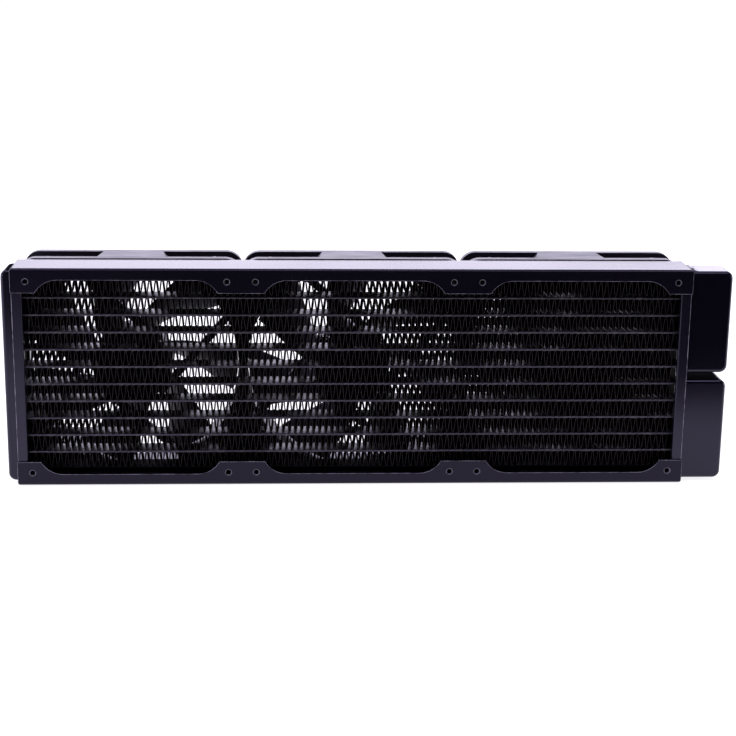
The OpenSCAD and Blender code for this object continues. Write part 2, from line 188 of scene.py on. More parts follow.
def powder_coat(name, colour, rough, ior):
    """Satin powder coat: orange peel, fine grain and uneven gloss."""
    material, nodes, shader, place = new_material(name)
    cloud = nodes.noise(place, 14.0, 1.0)
    grain = nodes.noise(place, 2600.0, 1.0)
    peel_height = nodes.noise(place, 1500.0, 1.0)
    lighter = tuple(1.3 * c for c in colour)
    body = nodes.mix(nodes.spread(cloud, 0.0, 1.0), colour, lighter)
    nodes.link(body, shader.inputs["Base Color"])
    nodes.link(nodes.spread(cloud, rough - 0.015, rough + 0.02), shader.inputs["Roughness"])
    shader.inputs["Specular Tint"].default_value = (*LAVENDER, 1.0)
    shader.inputs["IOR"].default_value = ior
    first = nodes.bump(peel_height, 0.004 * MM, 0.5)
    nodes.link(nodes.bump(grain, 0.002 * MM, 0.5, first), shader.inputs["Normal"])
    return material


def worn_and_highlit_paint(name, colour, worn, rough):
    """Paint on a sharp edge, rubbed thin in places; its lighter colour there is also a painted highlight
    along the edge.
    """
    material, nodes, shader, place = new_material(name)
    rubbed_and_lit = nodes.spread(nodes.noise(place, 230.0, 4.0), 0.15, 1.0, 0.38, 0.62)
    nodes.link(nodes.mix(rubbed_and_lit, colour, worn), shader.inputs["Base Color"])
    nodes.link(nodes.spread(rubbed_and_lit, rough, rough + 0.1, 0.0, 1.0), shader.inputs["Roughness"])
    shader.inputs["Specular Tint"].default_value = (*LAVENDER, 1.0)
    nodes.link(nodes.bump(nodes.noise(place, 2600.0, 1.0), 0.003 * MM, 0.5), shader.inputs["Normal"])
    return material


def core_paint(name, colour, bare_and_lit_colour, rough, ior):
    """Thin matt paint over copper or brass, with the metal's brown showing through in patches; where the
    patch colour is light grey, as on the tube noses, the patches are a painted highlight.
    """
    material, nodes, shader, place = new_material(name)
    patch = nodes.noise(place, 260.0, 4.0, 0.6)
    streak = nodes.noise(nodes.stretched(place, (1400.0, 180.0, 300.0)), 1.0, 2.0)
    shade = nodes.mix(nodes.spread(streak, 0.0, 1.0), colour, tuple(1.8 * c for c in colour))
    bare = nodes.spread(patch, 0.0, 0.75, 0.5, 0.72)
    nodes.link(nodes.mix(bare, shade, bare_and_lit_colour), shader.inputs["Base Color"])
    nodes.link(nodes.spread(patch, rough - 0.08, rough + 0.12), shader.inputs["Roughness"])
    shader.inputs["IOR"].default_value = ior
    shader.inputs["Specular Tint"].default_value = (*LAVENDER, 1.0)
    nodes.link(nodes.bump(streak, 0.015 * MM, 0.6), shader.inputs["Normal"])
    return material


def moulded_plastic(name, colour, rough, grain_size):
    """Moulded plastic with a spark-eroded grain and faint flow marks."""
    material, nodes, shader, place = new_material(name)
    flow = nodes.noise(nodes.stretched(place, (60.0, 190.0, 60.0)), 1.0, 3.0)
    cells = nodes.add("ShaderNodeTexVoronoi", feature="F1")
    cells.inputs["Scale"].default_value = 1.0 / grain_size
    nodes.link(place, cells.inputs["Vector"])
    lighter = tuple(1.5 * c for c in colour)
    nodes.link(nodes.mix(nodes.spread(flow, 0.0, 1.0), colour, lighter), shader.inputs["Base Color"])
    nodes.link(nodes.spread(flow, rough - 0.05, rough + 0.07), shader.inputs["Roughness"])
    shader.inputs["Specular Tint"].default_value = (*LAVENDER, 1.0)
    nodes.link(nodes.bump(cells.outputs["Distance"], 0.02 * MM, 0.35), shader.inputs["Normal"])
    return material


def machined_metal(name, colour, rough, lay):
    """Bare metal with tool marks; lay is how finely the marks repeat along X, Y and Z, per metre."""
    material, nodes, shader, place = new_material(name)
    marks = nodes.noise(nodes.stretched(place, lay), 1.0, 2.0)
    stain = nodes.noise(place, 240.0, 3.0)
    darker = tuple(0.6 * c for c in colour)
    nodes.link(nodes.mix(nodes.spread(stain, 0.0, 1.0), darker, colour), shader.inputs["Base Color"])
    nodes.link(nodes.spread(marks, rough - 0.08, rough + 0.1), shader.inputs["Roughness"])
    shader.inputs["Metallic"].default_value = 1.0
    nodes.link(nodes.bump(marks, 0.01 * MM, 0.4), shader.inputs["Normal"])
    return material


def wound_wire(name):
    """Enamelled copper wire in close turns."""
    material, nodes, shader, place = new_material(name)
    turns = nodes.add("ShaderNodeTexWave", wave_type="BANDS", bands_direction="Y", wave_profile="SIN")
    turns.inputs["Scale"].default_value = 620.0
    turns.inputs["Distortion"].default_value = 1.2
    nodes.link(place, turns.inputs["Vector"])
    copper = nodes.mix(turns.outputs["Fac"], (0.30, 0.09, 0.035), (0.78, 0.33, 0.16))
    nodes.link(copper, shader.inputs["Base Color"])
    nodes.link(nodes.spread(nodes.noise(place, 900.0), 0.22, 0.36), shader.inputs["Roughness"])
    shader.inputs["Metallic"].default_value = 1.0
    nodes.link(nodes.bump(turns.outputs["Fac"], 0.15 * MM, 0.8), shader.inputs["Normal"])
    return material


def laminated_steel(name):
    """A stack of stamped sheets, seen as fine lines across the shaft's direction."""
    material, nodes, shader, place = new_material(name)
    sheets = nodes.add("ShaderNodeTexWave", wave_type="BANDS", bands_direction="Y", wave_profile="SAW")
    sheets.inputs["Scale"].default_value = 320.0
    nodes.link(place, sheets.inputs["Vector"])
    steel = nodes.mix(sheets.outputs["Fac"], (0.10, 0.10, 0.12), (0.42, 0.43, 0.46))
    nodes.link(steel, shader.inputs["Base Color"])
    nodes.link(nodes.spread(nodes.noise(place, 500.0), 0.32, 0.5), shader.inputs["Roughness"])
    shader.inputs["Metallic"].default_value = 1.0
    nodes.link(nodes.bump(sheets.outputs["Fac"], 0.05 * MM, 0.6), shader.inputs["Normal"])
    return material


def solder_mask(name):
    """Circuit board: green mask over slightly raised copper areas."""
    material, nodes, shader, place = new_material(name)
    tracks = nodes.add("ShaderNodeTexVoronoi", feature="DISTANCE_TO_EDGE")
    tracks.inputs["Scale"].default_value = 420.0
    nodes.link(place, tracks.inputs["Vector"])
    raised = nodes.spread(tracks.outputs["Distance"], 0.0, 1.0, 0.06, 0.1)
    nodes.link(nodes.mix(raised, (0.008, 0.07, 0.03), (0.02, 0.19, 0.07)), shader.inputs["Base Color"])
    nodes.link(nodes.spread(nodes.noise(place, 800.0), 0.22, 0.34), shader.inputs["Roughness"])
    nodes.link(nodes.bump(raised, 0.04 * MM, 0.7), shader.inputs["Normal"])
    return material


MATERIALS = {
    "rail_paint": powder_coat("rail_paint", (0.0018, 0.0013, 0.0042), 0.26, 1.38),
    "strip_paint": powder_coat("strip_paint", (0.0020, 0.0015, 0.0048), 0.26, 1.54),
    "tank_paint": powder_coat("tank_paint", (0.0012, 0.0009, 0.0034), 0.20, 1.50),
    "port_paint": powder_coat("port_paint", (0.0020, 0.0015, 0.0042), 0.22, 1.50),
    # The worn edge paint is real wear and also a painted highlight: its light colour draws thin bright lines
    # along the edges.
    "worn_edge_and_highlight": worn_and_highlit_paint("worn_edge_and_highlight", (0.020, 0.018, 0.030), (0.30, 0.28, 0.36), 0.30),
    # The gap coat reflects hardly any light: painted shade in the gap between the flow tanks.
    "tank_gap": powder_coat("tank_gap", (0.0030, 0.0025, 0.0050), 0.70, 1.02),
    # core_paint on the rails' insides reflects hardly any light: painted shade inside the rails.
    "core_paint": core_paint("core_paint", (0.0018, 0.0015, 0.0026), (0.008, 0.006, 0.006), 0.70, 1.07),
    # The tube's noses and flats are lit and shaded copies of one paint: the lighter noses are a painted
    # highlight, the darker flats are painted shade between the fins.
    "tube_paint": core_paint("tube_paint", (0.016, 0.0145, 0.0165), (0.085, 0.078, 0.078), 0.24, 1.60),
    "tube_flat_shaded": core_paint("tube_flat_shaded", (0.0022, 0.0018, 0.0030), (0.008, 0.006, 0.006), 0.40, 1.34),
    # The fin edge paint is copper showing at the cut ends and also a painted highlight for light catching the
    # fins.
    "fin_edge_copper_and_highlight": core_paint("fin_edge_copper_and_highlight", (0.026, 0.023, 0.023), (0.090, 0.069, 0.051), 0.60, 1.40),
    "fin_paint": core_paint("fin_paint", (0.0016, 0.0013, 0.0019), (0.012, 0.008, 0.005), 0.72, 1.06),
    "frame_plastic": moulded_plastic("frame_plastic", (0.0075, 0.0068, 0.0095), 0.42, 0.35 * MM),
    "blade_plastic": moulded_plastic("blade_plastic", (0.0040, 0.0035, 0.0052), 0.48, 0.5 * MM),
    "yoke_steel": machined_metal("yoke_steel", (0.60, 0.60, 0.62), 0.32, (300.0, 3000.0, 300.0)),
    "magnet_ferrite": core_paint("magnet_ferrite", (0.03, 0.03, 0.034), (0.05, 0.045, 0.045), 0.6, 1.5),
    "shaft_steel": machined_metal("shaft_steel", (0.78, 0.78, 0.80), 0.16, (200.0, 6000.0, 200.0)),
    "core_steel": laminated_steel("core_steel"),
    "board_laminate": solder_mask("board_laminate"),
    "bearing_bronze": machined_metal("bearing_bronze", (0.58, 0.38, 0.17), 0.4, (900.0, 900.0, 900.0)),
    "copper_wire": wound_wire("copper_wire"),
    "screw_finish": machined_metal("screw_finish", (0.055, 0.052, 0.06), 0.36, (2500.0, 600.0, 2500.0)),
    "bare_rim": machined_metal("bare_rim", (0.17, 0.16, 0.21), 0.38, (2500.0, 2500.0, 2500.0)),
}
SLOT_OF = {s["node"]: s["material_slot"] for s in RECORD["subparts"]}


# ---------------------------------------------------------------- mesh helpers

# A piece's own material has index 0, and its extra ones follow from this index.
FIRST_EXTRA = 1


def new_piece(name, mesh, node, extra=(), stands_for_node=True):
    """Turns a mesh into a piece with a CAD node's body, slot and material."""
    piece = bpy.data.objects.new(name, mesh)
    bpy.context.scene.collection.objects.link(piece)
    slot = SLOT_OF[node]
    for material in (slot, *extra):
        mesh.materials.append(MATERIALS[material])
    mesh.shade_smooth()
    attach(piece, NODES[node]["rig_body"])
    if stands_for_node:
        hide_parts(node)
    return piece


def mesh_from(bm, name):
    bmesh.ops.recalc_face_normals(bm, faces=bm.faces)
    mesh = bpy.data.meshes.new(name)
    bm.to_mesh(mesh)
    bm.free()
    return mesh


def even_shading(piece):
    """Keeps flat faces flat beside their rounded edges."""
    modifier = piece.modifiers.new("even_shading", "WEIGHTED_NORMAL")
    modifier.keep_sharp = False
    modifier.weight = 100


def copy_of(node):
    """A CAD node's mesh, with each flat face made one face."""
    bm = bmesh.new()
    bm.from_mesh(NODES[node].data)
    bmesh.ops.remove_doubles(bm, verts=bm.verts, dist=0.002 * MM)
    bmesh.ops.dissolve_limit(bm, angle_limit=math.radians(0.6), verts=bm.verts, edges=bm.edges)
    return bm


def sharp_edges(bm, angle):
    limit = math.radians(angle)
    return [e for e in bm.edges if len(e.link_faces) == 2 and e.calc_face_angle(0.0) > limit]


def rounded_copy(node, edge, angle=35.0, edge_material=-1, extra=()):
    """A copy of a CAD node with every sharp edge rounded, in a material of its own if one is given."""
    bm = copy_of(node)
    bmesh.ops.bevel(
        bm, geom=sharp_edges(bm, angle), offset=edge, offset_type="OFFSET", segments=3,
        profile=0.5, affect="EDGES", clamp_overlap=True, material=edge_material,
    )
    piece = new_piece(node + "_shell", mesh_from(bm, node), node, extra=extra)
    even_shading(piece)


def add_ring_surface(bm, rings, close=False):
    """Joins rings of points, each a closed loop, into a tube; close also joins the last ring to the first."""
    loops = [[bm.verts.new(p) for p in ring] for ring in rings]
    pairs = list(zip(loops, loops[1:]))
    if close:
        pairs.append((loops[-1], loops[0]))
    for a, b in pairs:
        for i in range(len(a)):
            j = (i + 1) % len(a)
            bm.faces.new((a[i], a[j], b[j], b[i]))
    return loops


def around_y(centre, r, y, angle):
    return Vector((centre.x + r * math.cos(angle), y, centre.z + r * math.sin(angle)))


def lathe(bm, centre, profile, steps):
    """Turns a profile of (radius, y) points round a line along Y, with a flat disc at each end."""
    rings = []
    for r, y in profile:
        rings.append([around_y(centre, r, y, math.tau * k / steps) for k in range(steps)])
    loops = add_ring_surface(bm, rings)
    bm.faces.new(loops[0])
    bm.faces.new(loops[-1])


def arc(cx, cy, r, start, end, count):
    """Points on an arc, in degrees."""
    turns = [math.radians(start + (end - start) * k / count) for k in range(count + 1)]
    return [(cx + r * math.cos(t), cy + r * math.sin(t)) for t in turns]


# ---------------------------------------------------------------- casing

def hole_axes():
    """X and Z of every screw hole of the casing."""
    found = []
    for side in SIDES:
        mount = MOUNTS["front_holes_" + side]
        x, _, z = mount["pos_m"]
        dx = mount["dims"]["spacing_x_mm"] * MM / 2
        dz = mount["dims"]["spacing_y_mm"] * MM / 2
        found += [(x + a * dx, z + b * dz) for a in (-1, 1) for b in (-1, 1)]
    return found


COUNTERSINK = 0.6 * MM
RAIL_EDGE = 0.16 * MM
RAIL_EXTRA = ("core_paint", "worn_edge_and_highlight", "bare_rim")
SHADED_INSIDE, EDGE, RIM = range(FIRST_EXTRA, FIRST_EXTRA + len(RAIL_EXTRA))


def near_hole(point, holes, reach):
    return any(math.hypot(point.x - x, point.z - z) < reach for x, z in holes)


def countersink_holes(bm, faces_y, holes, tap_r):
    """Cuts a bare countersink round every screw hole, on both of a rail's outer faces."""

    def on_mouth(v, hole):
        at_face = min(abs(v.co.y - y) for y in faces_y) < 0.01 * MM
        return at_face and near_hole(v.co, [hole], tap_r + 0.4 * MM)

    mouths = []
    for e in bm.edges:
        if any(all(on_mouth(v, hole) for v in e.verts) for hole in holes):
            mouths.append(e)
    bmesh.ops.bevel(bm, geom=mouths, offset=COUNTERSINK, segments=1, affect="EDGES", clamp_overlap=False)
    for face in bm.faces:
        slanted = 0.2 < abs(face.normal.y) < 0.95
        if slanted and near_hole(face.calc_center_median(), holes, tap_r + 1.2 * COUNTERSINK):
            face.material_index = RIM


def countersunk_rail(node, holes):
    """A rail with countersunk screw holes, fine round edges, and matt paint on its inside that hardly
    reflects, as painted shade.
    """
    lo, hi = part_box(node)
    tap_r = MOUNTS["front_holes_middle"]["dims"]["hole_r_mm"] * MM
    bm = copy_of(node)
    countersink_holes(bm, (lo.y, hi.y), holes, tap_r)
    reach = tap_r + 1.2 * COUNTERSINK
    edges = sharp_edges(bm, 35)
    clear = [e for e in edges if not any(near_hole(v.co, holes, reach) for v in e.verts)]
    # The rounded edges take the worn edge paint, whose light colour is partly a painted highlight.
    bmesh.ops.bevel(
        bm, geom=clear, offset=RAIL_EDGE, segments=2, profile=0.5, affect="EDGES", clamp_overlap=False,
        material=EDGE,
    )
    up = 1 if hi.z > 0 else -1
    # Faces inside the rail take the barely reflecting paint, as painted shade.
    for face in bm.faces:
        inside = lo.y + 0.5 * MM < face.calc_center_median().y < hi.y - 0.5 * MM
        if face.material_index == 0 and inside and face.normal.z * up < -0.3:
            face.material_index = SHADED_INSIDE
    piece = new_piece(node + "_folded", mesh_from(bm, node), node, extra=RAIL_EXTRA)
    even_shading(piece)


def make_casing():
    holes = hole_axes()
    for node in ("top_rail", "bottom_rail"):
        countersunk_rail(node, holes)
    for end in ("left", "right"):
        for face in ("front", "rear"):
            strip = f"{end}_{face}_strip"
            # The strips' rounded edges take the worn edge paint, whose light colour is partly a painted
            # highlight.
            rounded_copy(strip, 0.3 * MM, edge_material=FIRST_EXTRA, extra=("worn_edge_and_highlight",))
        rounded_copy(f"{end}_header_plate", 0.08 * MM)
    rounded_copy("upper_side_plate", 0.3 * MM)
    rounded_copy("lower_side_plate", 0.3 * MM)


# ---------------------------------------------------------------- tanks and ports

TANK_WALL = 1.0 * MM
TANK_CORNER = 4.0 * MM
TANK_EDGE = 2.0 * MM
PORT_HOLE_R = 7.63 * MM
SIDE_STEPS = 10
END_STEPS = 16
ROUND_STEPS = 8


def divided(a, b, count):
    """Points from a to b, both included, in count equal steps."""
    return [tuple(p + (q - p) * k / count for p, q in zip(a, b)) for k in range(count + 1)]


def quarter(count):
    """Angles over a quarter turn, both ends included."""
    return [math.pi / 2 * k / count for k in range(count + 1)]


def tank_outline(near_x, far_x, z0, z1, inset, corner):
    """The tank's outline in X and Z, from the casing round the far end and back, then along the casing."""
    turn = 1 if far_x > near_x else -1
    far = far_x - turn * inset
    low, high = z0 + inset, z1 - inset
    r = corner - inset
    middle = far - turn * r
    line = divided((near_x, low), (middle, low), SIDE_STEPS)[:-1]
    line += [(middle + turn * r * math.sin(t), low + r - r * math.cos(t)) for t in quarter(ROUND_STEPS)]
    line += divided((far, low + r), (far, high - r), END_STEPS)[1:-1]
    line += [(middle + turn * r * math.cos(t), high - r + r * math.sin(t)) for t in quarter(ROUND_STEPS)]
    line += divided((middle, high), (near_x, high), SIDE_STEPS)[1:]
    return line + divided((near_x, high), (near_x, low), END_STEPS)[1:-1]


def tank_skin(bm, box, outward, inset, hole):
    """One skin of a tank: front face, round edges, sides and a rear face that may have a round hole.

    It gives back the rows of points from front to rear, and the hole's rim.
    """
    lo, hi = box
    near_x, far_x = (lo.x, hi.x - inset) if outward > 0 else (hi.x, lo.x + inset)
    edge, corner = TANK_EDGE - inset, TANK_CORNER - inset
    z0, z1 = lo.z + inset, hi.z - inset
    y0, y1 = lo.y + inset, hi.y - inset
    levels = [(y0 + edge - edge * math.cos(t), edge - edge * math.sin(t)) for t in quarter(6)]
    levels += [(y1 - (y - y0), inset_here) for y, inset_here in reversed(levels)]
    rows = []
    for y, inset_here in levels:
        line = tank_outline(near_x, far_x, z0, z1, inset_here, corner)
        rows.append([bm.verts.new((x, y, z)) for x, z in line])
    around = len(rows[0])
    sides = around - END_STEPS
    for a, b in zip(rows, rows[1:]):
        for i in range(sides):
            bm.faces.new((a[i], a[i + 1], b[i + 1], b[i]))
    bm.faces.new(rows[0])
    if hole is None:
        bm.faces.new(rows[-1])
        return rows, None
    rim = []
    for v in rows[-1]:
        angle = math.atan2(v.co.z - hole.z, v.co.x - hole.x)
        rim.append(bm.verts.new(around_y(hole, PORT_HOLE_R, y1, angle)))
    for i in range(around):
        j = (i + 1) % around
        bm.faces.new((rows[-1][i], rows[-1][j], rim[j], rim[i]))
    return rows, rim


def tank_shell(node, box, outward, hole=None):
    """A drawn sheet tank, open towards the casing, with an outer and an inner skin.

    The flow tanks' faces beside their gap take a matt coat that hardly reflects, as painted shade between the
    tanks; the return tank's top and bottom take it too.
    """
    bm = bmesh.new()
    outer, outer_rim = tank_skin(bm, box, outward, 0.0, hole)
    inner, inner_rim = tank_skin(bm, box, outward, TANK_WALL, hole)
    sides = len(outer[0]) - END_STEPS
    for o_a, o_b, i_a, i_b in zip(outer, outer[1:], inner, inner[1:]):
        for end in (0, sides):
            bm.faces.new((o_a[end], o_b[end], i_b[end], i_a[end]))
    for o_row, i_row in ((outer[0], inner[0]), (outer[-1], inner[-1])):
        for k in range(END_STEPS):
            i, j = sides + k, (sides + k + 1) % len(o_row)
            bm.faces.new((o_row[i], o_row[j], i_row[j], i_row[i]))
    if hole is not None:
        for i in range(len(outer_rim)):
            j = (i + 1) % len(outer_rim)
            bm.faces.new((outer_rim[i], outer_rim[j], inner_rim[j], inner_rim[i]))
    bm.normal_update()
    # Faces beside the gap between the flow tanks take the barely reflecting coat, as painted shade.
    between = min(abs(box[0].z), abs(box[1].z)) + 0.1 * MM
    for face in bm.faces:
        if abs(face.normal.z) > 0.9 and abs(face.calc_center_median().z) < between:
            face.material_index = FIRST_EXTRA
    piece = new_piece(node + "_drawn", mesh_from(bm, node), node, extra=("tank_gap",))
    even_shading(piece)


def without_bead(node):
    """A flow tank's box without the bead at its foot, which stands a little beyond it in Z."""
    lo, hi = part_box(node)
    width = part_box("return_tank")[1].z
    lo.z = max(lo.z, -width)
    hi.z = min(hi.z, width)
    return lo, hi


def make_tanks():
    tank_shell("return_tank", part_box("return_tank"), -1)
    for node, port in (("inlet_tank", "inlet_port"), ("outlet_tank", "outlet_port")):
        tank_shell(node, without_bead(node), 1, Vector(MOUNTS[port]["pos_m"]))
        make_bead(node)
        make_port(port)


def make_bead(node):
    """The soft bead of solder where a tank leaves the casing."""
    lo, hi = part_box(node)
    up = 1 if hi.z > 0 else -1
    tank_z = abs(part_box("return_tank")[1].z)
    top = max(abs(lo.z), abs(hi.z))
    x0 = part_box("top_rail")[1].x + 0.2 * MM
    y0, y1 = lo.y + 2 * MM, hi.y - 2 * MM
    height = top - tank_z
    outline = [(x0, tank_z - 0.4 * MM), (x0, top - 0.1 * MM)]
    for k in range(9):
        t = k / 8
        outline.append((x0 + (0.8 + 2.8 * t) * MM, tank_z + height * (0.5 + 0.5 * math.cos(math.pi * t))))
    outline.append((x0 + 3.6 * MM, tank_z - 0.4 * MM))
    bm = bmesh.new()
    steps = 40
    rings = []
    for s in range(steps + 1):
        y = y0 + (y1 - y0) * s / steps
        fade = min(1.0, 0.2 + 4.0 * min(s, steps - s) / steps)
        wave = fade * (1.0 - 0.12 * noise.noise(Vector((y * 400.0, up * 3.0, 0.0))) ** 2)
        ring = []
        for x, z in outline:
            lift = (z - tank_z) * wave if z > tank_z else z - tank_z
            ring.append(Vector((x, y, up * (tank_z + lift))))
        rings.append(ring)
    loops = add_ring_surface(bm, rings)
    bm.faces.new(loops[0])
    bm.faces.new(loops[-1])
    new_piece(node + "_bead", mesh_from(bm, node + "_bead"), node, stands_for_node=False)


def make_port(port):
    """A threaded collar: chamfered outside, with a true helical thread in its bore."""
    lo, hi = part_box(port)
    centre = Vector(MOUNTS[port]["pos_m"])
    core_r = MOUNTS[port]["dims"]["r_mm"] * MM
    collar_r = (hi.x - lo.x) / 2
    tank_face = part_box("return_tank")[1].y
    neck_r = 7.6 * MM
    pitch, depth = 1.337 * MM, 0.70 * MM
    steps, per_turn = 72, 8
    rows = int((hi.y - lo.y - 1.2 * MM) / pitch * per_turn)
    profile = [(neck_r, lo.y), (neck_r, tank_face), (collar_r, tank_face)]
    profile += [(collar_r, hi.y - 0.5 * MM)] + arc(collar_r - 0.5 * MM, hi.y - 0.5 * MM, 0.5 * MM, 20, 90, 4)
    profile += [(core_r + 1.9 * MM, hi.y), (core_r + 1.75 * MM, hi.y - 0.15 * MM)]
    profile += [(core_r + 1.0 * MM, hi.y - 0.2 * MM), (core_r + depth + 0.1 * MM, hi.y - 0.6 * MM)]
    bm = bmesh.new()
    rings = [[around_y(centre, r, y, math.tau * k / steps) for k in range(steps)] for r, y in profile]
    for row in range(rows + 1):
        y = hi.y - 0.8 * MM - row * pitch / per_turn
        ring = []
        for k in range(steps):
            phase = (row / per_turn + k / steps) % 1.0
            crest = max(0.0, 1.0 - abs(2.0 * phase - 1.0) * 1.25)
            ring.append(around_y(centre, core_r + depth * (1.0 - crest), y, math.tau * k / steps))
        rings.append(ring)
    rings.append([around_y(centre, core_r + 0.1 * MM, lo.y, math.tau * k / steps) for k in range(steps)])
    add_ring_surface(bm, rings, close=True)
    piece = new_piece(port + "_turned", mesh_from(bm, port), port)
    even_shading(piece)


# ---------------------------------------------------------------- core

FIN_PITCH = 3.3 * MM
FIN_SHEET = 0.14 * MM
FIN_SKEW = -0.032
TUBE_BUMP = 0.22 * MM
STEPS_PER_CREST = 6
NOSE_STEPS = 8
CREST_R = 0.37 * MM
CREST_PLAY = 0.09
LEG_BOW = 0.06
LOUVRE = 0.30 * MM
COLUMNS = 8


def flat_tube(node, first_crest):
    """A flat tube. Paint gathers at the fins' crests, so its noses have a small bump at each crest."""
    lo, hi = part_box(node)
    half_t = (hi.z - lo.z) / 2
    mid_z = (hi.z + lo.z) / 2
    steps = int((hi.x - lo.x) / FIN_PITCH * STEPS_PER_CREST)
    rings = []
    for s in range(steps + 1):
        x = lo.x + (hi.x - lo.x) * s / steps
        turn = (x - first_crest) / FIN_PITCH
        above = TUBE_BUMP * (0.5 + 0.5 * math.cos(math.tau * turn)) ** 3
        below = TUBE_BUMP * (0.5 - 0.5 * math.cos(math.tau * turn)) ** 3
        uneven = 0.7 + 0.9 * noise.noise(Vector((x * 120.0, mid_z * 900.0, 0.5)))
        ring = []
        for y, end in ((lo.y, -1), (hi.y, 1)):
            for k in range(NOSE_STEPS + 1):
                t = math.pi * (k / NOSE_STEPS - 0.5) * -end
                c = y - end * half_t
                swell = uneven * (above if math.sin(t) > 0 else below) * abs(math.sin(t))
                drop = (half_t - TUBE_BUMP) * math.sin(t) + math.copysign(swell, math.sin(t))
                ring.append(Vector((x, c + end * math.cos(t) * half_t, mid_z + drop)))
        rings.append(ring)
    bm = bmesh.new()
    loops = add_ring_surface(bm, rings)
    bm.faces.new(loops[0])
    bm.faces.new(loops[-1])
    # The flat faces between the fins take the darker copy of the tube paint, as painted shade.
    for face in bm.faces:
        if lo.y + half_t < face.calc_center_median().y < hi.y - half_t:
            face.material_index = FIRST_EXTRA
    new_piece(node + "_drawn", mesh_from(bm, node), node, extra=("tube_flat_shaded",))


def fold_line(lo, hi, dice, phase):
    """The folded sheet's middle line in X and Z: round crests joined by leaning legs."""
    half = FIN_PITCH / 2
    count = int((hi.x - lo.x - 0.9 * MM) / half)
    reach = (hi.z - lo.z) / 2
    mid = (hi.z + lo.z) / 2
    line = []
    for j in range(count + 1):
        x = lo.x + 0.5 * MM + j * half + dice.uniform(-CREST_PLAY, CREST_PLAY) * MM
        up = 1 if (j + phase) % 2 == 0 else -1
        z = hi.z - FIN_SHEET / 2 - CREST_R if up > 0 else lo.z + FIN_SHEET / 2 + CREST_R
        for k in range(5):
            t = math.radians(172 - 164 * k / 4)
            line.append((x + CREST_R * math.cos(t), z + up * CREST_R * math.sin(t)))
        bow = dice.uniform(-LEG_BOW, LEG_BOW) * MM
        if j < count:
            for part in (0.55, -0.55):
                along = (half - 2 * CREST_R) * (0.5 - part / 2)
                line.append((x + CREST_R + along + bow, mid + up * part * reach))
    return line


def side_normals(line):
    """The direction across a line at each of its points."""
    normals = []
    for i in range(len(line)):
        a = line[max(i - 1, 0)]
        b = line[min(i + 1, len(line) - 1)]
        d = Vector((b[0] - a[0], b[1] - a[1])).normalized()
        normals.append((-d.y, d.x))
    return normals


def fin_strip(node, dice, phase):
    """A folded fin sheet with louvred legs."""
    lo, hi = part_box(node)
    line = fold_line(lo, hi, dice, phase)
    normals = side_normals(line)
    mid_z = (lo.z + hi.z) / 2
    reach = (hi.z - lo.z) / 2
    mid_y = (lo.y + hi.y) / 2
    n = len(line)
    rings = []
    for c in range(COLUMNS + 1):
        y = lo.y + (hi.y - lo.y) * c / COLUMNS
        slant = (y - mid_y) * FIN_SKEW
        ring = []
        for side, order in ((1, range(n)), (-1, range(n - 1, -1, -1))):
            for i in order:
                x, z = line[i]
                louvred = abs(z - mid_z) < 0.6 * reach and 0 < c < COLUMNS
                louvre = LOUVRE * (1 if c % 2 else -1) if louvred else 0.0
                px = x + side * normals[i][0] * FIN_SHEET / 2 + louvre + slant
                pz = z + side * normals[i][1] * FIN_SHEET / 2
                ring.append(Vector((min(max(px, lo.x), hi.x), y, pz)))
        rings.append(ring)
    bm = bmesh.new()
    loops = add_ring_surface(bm, rings)
    # The fins' cut ends take the lighter fin edge paint: copper showing there, and also a painted highlight.
    for loop in (loops[0], loops[-1]):
        for i in range(n - 1):
            edge = bm.faces.new((loop[i], loop[i + 1], loop[2 * n - 2 - i], loop[2 * n - 1 - i]))
            edge.material_index = FIRST_EXTRA
    piece = new_piece(node + "_folded", mesh_from(bm, node), node, extra=("fin_edge_copper_and_highlight",))
    piece.data.shade_flat()


def make_core():
    dice = random.Random(11)
    for i in range(1, 11):
        flat_tube(f"flat_tube_{i}", FIN_PITCH * (0.25 if i % 2 else -0.25))
    for i in range(1, 12):
        fin_strip(f"fin_strip_{i}", dice, i)


# ---------------------------------------------------------------- fans

BLADES = 7
BLADE_SPAN = 31.0
BLADE_SWEEP = 26.0
BLADE_BOW = 5.0
BLADE_T = 1.7 * MM
BLADE_RISE = (18.4 * MM, 17.6 * MM)
BLADE_CAMBER = 1.2 * MM
BLADE_EDGE = 0.4
TIP_R = 57.2 * MM
HUB_R = 21.0 * MM
HUB_WALL = 1.3 * MM
HUB_ROUND = 2 * MM
CAP_DISH = 0.35 * MM
SHAFT_BORE_R = 1.52 * MM
BOSS_R = 4 * MM
BOSS_DEPTH = 5 * MM
BLADE_ROWS = 18
BLADE_STEPS = 22
REST_ANGLE = {"left": 73.0, "middle": 62.0, "right": 42.0}


def blade_ring(u, hub_y, thin):
    """One section of a blade, as a closed loop of (radius, angle, y)."""
    root_r = HUB_R - HUB_WALL / 2
    r = root_r + (TIP_R - root_r) * u
    rise = BLADE_RISE[0] + (BLADE_RISE[1] - BLADE_RISE[0]) * u
    pitch = math.atan2(rise, r * math.radians(BLADE_SPAN))
    lead = BLADE_SWEEP * u + BLADE_BOW * 4 * u * (1 - u)
    ring = []
    for k in range(BLADE_STEPS):
        t = math.tau * k / BLADE_STEPS
        v = (1 - math.cos(t)) / 2
        bulge = 4 * v * (1 - v)
        half = BLADE_T / 2 * (BLADE_EDGE * min(1.0, 3 * math.sqrt(bulge)) + (1 - BLADE_EDGE) * bulge)
        skin = math.copysign(half, math.sin(t)) * thin
        a = (0.5 - v) * BLADE_SPAN - lead + math.degrees(skin * math.sin(pitch) / r)
        y = hub_y + (v - 0.5) * rise - BLADE_CAMBER * bulge + skin * math.cos(pitch)
        ring.append((r, a, y))
    return ring


